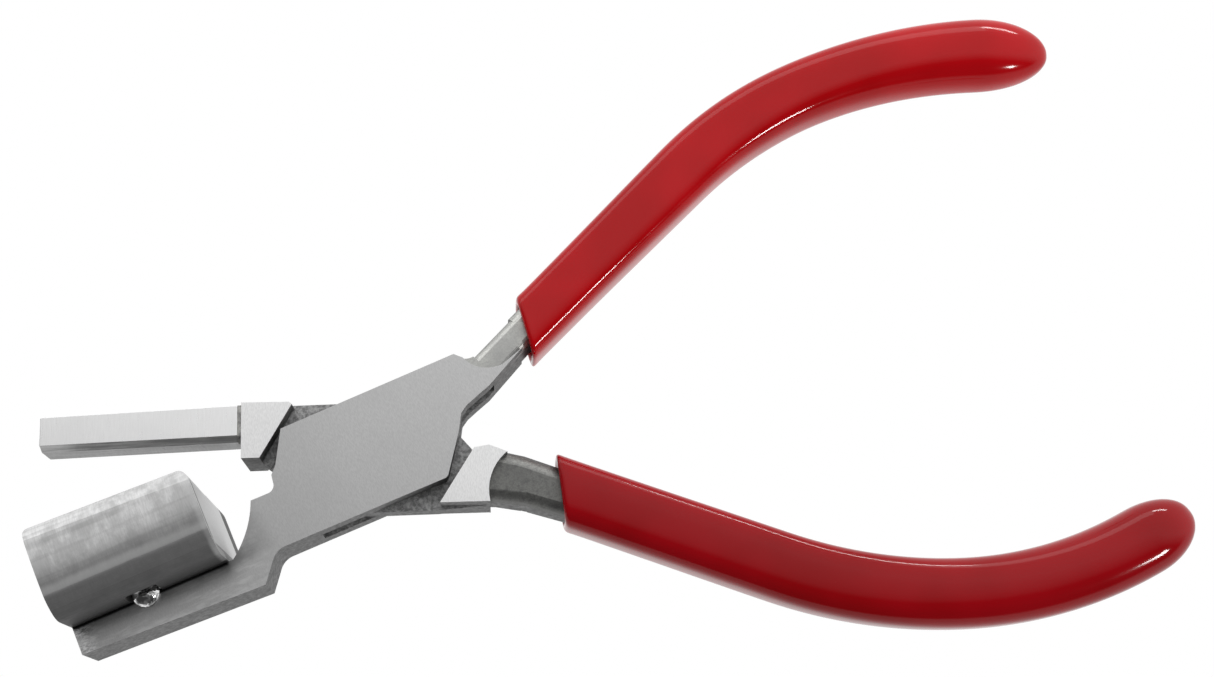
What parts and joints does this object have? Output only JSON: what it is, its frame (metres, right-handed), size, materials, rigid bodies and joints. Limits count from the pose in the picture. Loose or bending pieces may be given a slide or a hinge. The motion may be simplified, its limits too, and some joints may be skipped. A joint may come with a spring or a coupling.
{
  "type": "crimping pliers",
  "caption": "Box-joint jewellery crimping pliers: a wide grooved steel die on one jaw, a narrow punch bar on the other, glossy red dipped grips.",
  "frame": {"origin": "on the pivot axis, in the plane of the back cheek's outer face", "axes": "+X from the pivot towards the handles along the line that halves the opening, +Y towards the grip of the box lever, +Z along the pivot axis towards the front face"},
  "size_m": [0.151, 0.0862, 0.03],
  "materials": {
    "lever_steel": "satin, fine grain; necks bead-blasted",
    "bright_steel": "ground bright, lines across the bar",
    "die_steel": "brushed satin",
    "core_steel": "ground, light",
    "dark_backing": "blackened, dull",
    "braze": "dull silver braze",
    "chrome": "polished",
    "red_grip": "glossy dipped vinyl"
  },
  "bodies": {
    "box_side": {"box_lever": "lever_steel", "joint_rivet": "lever_steel", "die_core": "core_steel", "die_cover": "die_steel", "die_backing": "dark_backing", "die_pin": "chrome", "upper_grip": "red_grip"},
    "through_side": {"through_lever": "lever_steel", "braze_seam": "braze", "punch_bar": "bright_steel", "lower_grip": "red_grip"}
  },
  "joints": [
    {"name": "pivot", "type": "hinge", "parent": "box_side", "child": "through_side", "pos_m": [0, 0, 0], "axis": [0, 0, 1], "range_deg": [-34, 17]}
  ]
}
